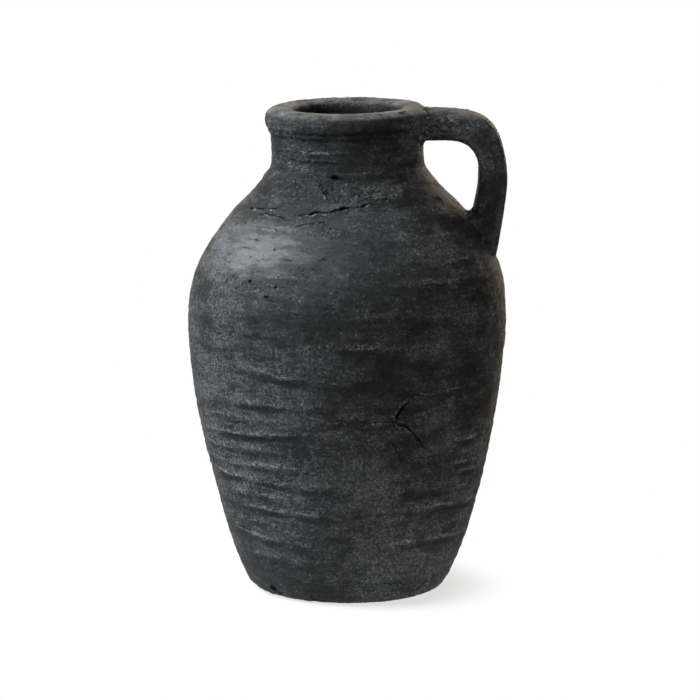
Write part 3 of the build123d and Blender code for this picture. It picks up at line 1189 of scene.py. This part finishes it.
def clay(name, grey_share=0.5, fleck_share=0.52):
    """Sooty black-fired clay: mottled, flecked, dusty on what stands proud, with painted shade in what is
    cut, under the ridges and inside the mouth, and painted light on the top, the strap's edges, the crack
    edges and the polished patch.
    """
    material = bpy.data.materials.new(name)
    s = Nodes(material)
    clouds = s.noise(60, 4, 0.6)
    blotches = s.noise(13, 6, 0.72, 0.4)
    bands = s.noise(24, 5, 0.66, 0.0, (0.35, 0.35, 2.4))
    streaks = s.noise(6, 4, 0.70, 0.4, (0.45, 0.45, 2.2))
    grain = s.noise(1.7, 3, 0.80, 0.9)
    fibres = s.noise(2.7, 3, 0.62, 1.8, (0.9, 0.9, 1.1))
    dust_and_painted_light, crazed, scuffs_and_shade = s.attribute("dust_and_painted_light"), s.attribute("crazed"), s.attribute("scuffs_and_shade")
    polish_and_highlight = s.times(s.attribute("polish_and_highlight"), s.between(streaks, 0.24, 0.44))
    rough = s.minus(1.0, s.times(polish_and_highlight, 0.8))

    # soot and grey, in clouds, blotches and level bands
    mottle = s.plus(s.times(clouds, 0.26), s.times(blotches, 0.24))
    mottle = s.plus(mottle, s.times(bands, 0.28), s.times(streaks, 0.22))
    # below 0 the stored dust number is painted shade under the ridges and darkens the mottle; above 0 dust
    # and crack-edge highlights lighten it
    mottle = s.minus(mottle, s.times(s.between(dust_and_painted_light, -0.05, -0.55), 0.08))
    mottle = s.plus(mottle, s.times(s.between(dust_and_painted_light, 0.0, 0.7), 0.05), s.times(scuffs_and_shade, 0.05))
    middle = 0.535 - 0.05 * grey_share
    tone = s.between(mottle, middle - 0.08, middle + 0.085)
    colour = s.mix(tone, SOOT, GREY)
    # painted highlight: the polished patch is painted paler
    colour = s.mix(s.times(polish_and_highlight, 0.42), colour, BUFFED_HIGHLIGHT)

    # pale strands and flecks, and sooty specks
    strand = s.between(s.maths("ABSOLUTE", s.minus(fibres, 0.5), 0.0), 0.028, 0.004)
    strands = s.times(strand, s.plus(tone, 0.2), rough)
    colour = s.mix(s.times(strands, 0.35), colour, FLECK)
    reach = s.plus(grain, s.times(tone, 0.12), s.times(scuffs_and_shade, 0.02))
    flecks = s.times(s.between(reach, 0.61, 0.69), rough)
    colour = s.mix(s.times(flecks, fleck_share), colour, FLECK)
    specks = s.between(grain, 0.49, 0.40)
    colour = s.mix(s.times(specks, rough, 0.68), colour, SOOT)

    # dusty lips and painted highlights on crack edges, wear and painted light on the top and the strap's
    # edges, and painted shade in cracks and pits
    dusted_and_highlit = s.times(s.between(dust_and_painted_light, 0.06, 0.65), s.between(streaks, 0.40, 0.56))
    colour = s.mix(s.times(dusted_and_highlit, s.between(grain, 0.46, 0.58)), colour, DUST_AND_EDGE_HIGHLIGHT)
    # wear and painted light: what faces up, and the strap's edges, are painted paler
    wear_and_light = s.times(s.attribute("worn_and_lit"), s.between(blotches, 0.34, 0.60))
    colour = s.mix(s.times(wear_and_light, 0.85), colour, WORN_AND_LIT)
    # painted shade: hair cracks, small pocks, pits and cracks are painted near black
    broken = s.maths("MAXIMUM", s.times(s.craze(3.8), s.between(grain, 0.56, 0.44)), s.pocks(3.2))
    patchy = s.maths("MINIMUM", s.plus(crazed, s.between(bands, 0.56, 0.68)), 1.0)
    craze = s.times(broken, patchy, s.between(blotches, 0.38, 0.50), rough)
    colour = s.mix(s.maths("MAXIMUM", s.attribute("hollow_shade"), craze), colour, GAP_SHADE)

    coarse_height = s.plus(s.noise(3.0, 5, 0.76, 0.8), s.times(streaks, 0.8))
    coarse = s.add("ShaderNodeBump", Height=coarse_height, Strength=rough, Distance=COARSE_BUMP)
    fine_height = s.minus(s.plus(grain, s.times(strand, 0.35, rough)), craze)
    bumped = s.add("ShaderNodeBump", Height=fine_height, Strength=rough, Distance=FINE_BUMP,
                   Normal=coarse.outputs[0])
    roughness = s.between(s.minus(mottle, s.times(polish_and_highlight, 0.35)), 0.0, 1.0, ROUGHNESS, "LINEAR")
    shader = s.add("ShaderNodeBsdfPrincipled", Base_Color=colour, Roughness=roughness,
                   Specular_IOR_Level=SPECULAR, Normal=bumped.outputs[0])
    s.add("ShaderNodeOutputMaterial", Surface=shader.outputs[0])
    return material


# ---------------------------------------------------------------- the studio

LENS = 245.0                  # mm, on a 36 mm wide sensor
CAMERA_DISTANCE = 3.435       # m
CAMERA_RISE = 9.9             # degrees
AIM = (0.0017, 0.0, 0.1728)   # m, next to the middle of the pot's axis
FLOOR_RADIUS = 0.8
FLOOR_WHITE = 0.9
FLOOR_FADE = (0.070, 0.12)    # m from the axis, where the floor fades into the white behind it
BOUNCE_FADE = (0.12, 0.30)    # the same for the light that it throws back at the pot
FLOOR_GLOW = 0.75             # share of the floor that shines by itself, which softens the shadow
BACKDROP_DEPTH = (0.74, 1.0)  # how far back a direction points, where the world goes from dim to bright
BACKDROP_GLOW = (0.035, 2.4)
BACKDROP_COLOUR = (1.0, 0.88, 0.73, 1)
# Soft lights: degrees from the front, rise, distance, width and height in m, power in W, and colour.
LIGHTS = {
    "key": (-84, 38, 1.6, 1.2, 1.4, 80, (0.91, 0.965, 1.0)),
    "fill": (40, 6, 1.8, 1.2, 1.2, 16, (1.0, 1.0, 1.0)),
    "top": (0, 80, 1.6, 1.2, 1.2, 8, (1.0, 0.98, 0.95)),
    "edge": (157, 14, 1.8, 0.8, 1.2, 11, (1.0, 0.84, 0.66)),
}


def aim(thing, target):
    thing.rotation_euler = (Vector(target) - thing.location).to_track_quat("-Z", "Y").to_euler()


def place_camera():
    data = bpy.data.cameras.new("camera")
    data.lens = LENS
    data.sensor_width = 36.0
    data.clip_end = 50.0
    camera = new_object("camera", data)
    rise = math.radians(CAMERA_RISE)
    camera.location = Vector(AIM) + Vector((0, -math.cos(rise), math.sin(rise))) * CAMERA_DISTANCE
    aim(camera, AIM)
    bpy.context.scene.camera = camera


def softbox(name, azimuth, rise, distance, width, height, power, colour):
    """A large soft light that points at the pot."""
    data = bpy.data.lights.new(name, "AREA")
    data.shape = "RECTANGLE"
    data.size, data.size_y = width, height
    data.energy = power
    data.color = colour
    light = new_object(name, data)
    turn, lift = math.radians(azimuth), math.radians(rise)
    way = Vector((math.sin(turn) * math.cos(lift), -math.cos(turn) * math.cos(lift), math.sin(lift)))
    light.location = Vector(AIM) + way * distance
    aim(light, AIM)


def lay_floor():
    """A pale round floor that fades out at its edge."""
    mesh = bpy.data.meshes.new("floor")
    work = bmesh.new()
    bmesh.ops.create_circle(work, cap_ends=True, segments=96, radius=FLOOR_RADIUS)
    work.to_mesh(mesh)
    work.free()
    floor = new_object("floor", mesh)
    material = bpy.data.materials.new("floor_white")
    s = Nodes(material)
    matte = s.add("ShaderNodeBsdfDiffuse", Color=(FLOOR_WHITE, FLOOR_WHITE, FLOOR_WHITE, 1))
    glow = s.add("ShaderNodeEmission", Strength=FLOOR_WHITE)
    surface = s.blend(FLOOR_GLOW, matte.outputs[0], glow.outputs[0])
    clear = s.add("ShaderNodeBsdfTransparent")
    distance = s.add("ShaderNodeVectorMath", {"operation": "LENGTH"}, Vector=s.place).outputs["Value"]
    seen, felt = s.between(distance, *FLOOR_FADE), s.between(distance, *BOUNCE_FADE)
    by_camera = s.add("ShaderNodeLightPath").outputs["Is Camera Ray"]
    faded = s.plus(felt, s.times(by_camera, s.minus(seen, felt)))
    s.add("ShaderNodeOutputMaterial", Surface=s.blend(faded, surface, clear.outputs[0]))
    mesh.materials.append(material)
    floor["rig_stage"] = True


def set_world():
    """White to look at. As a light it is bright behind the pot and dim in front of it."""
    world = bpy.data.worlds.new("studio")
    s = Nodes(world)
    seen = s.add("ShaderNodeBackground", Color=(1, 1, 1, 1))
    way = s.add("ShaderNodeSeparateXYZ", Vector=s.coordinates["Generated"])
    glow = s.between(way.outputs["Y"], *BACKDROP_DEPTH, ends=BACKDROP_GLOW)
    lit = s.add("ShaderNodeBackground", Color=BACKDROP_COLOUR, Strength=glow)
    by_camera = s.add("ShaderNodeLightPath").outputs["Is Camera Ray"]
    s.add("ShaderNodeOutputWorld", Surface=s.blend(by_camera, lit.outputs[0], seen.outputs[0]))
    bpy.context.scene.world = world


def light_studio():
    set_world()
    for name, values in LIGHTS.items():
        softbox(name, *values)
    bpy.context.scene.view_settings.view_transform = "Standard"


# ---------------------------------------------------------------- everything

def write_sizes():
    boxes = {"cad": CAD_BOX, "visual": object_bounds()}
    plain = {name: [[float(x) for x in corner] for corner in box] for name, box in boxes.items()}


def main():
    place_camera()
    light_studio()
    lay_floor()
    pieces, surface = build_pot()
    handle, middle, reach = build_handle()
    wads = build_wads(surface, middle, reach)
    materials = {name: clay(name, **changes) for name, changes in CLAYS.items()}
    for piece in [*pieces, handle, *wads]:
        piece.data.materials.append(materials[piece["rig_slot"]])
    write_sizes()


main()
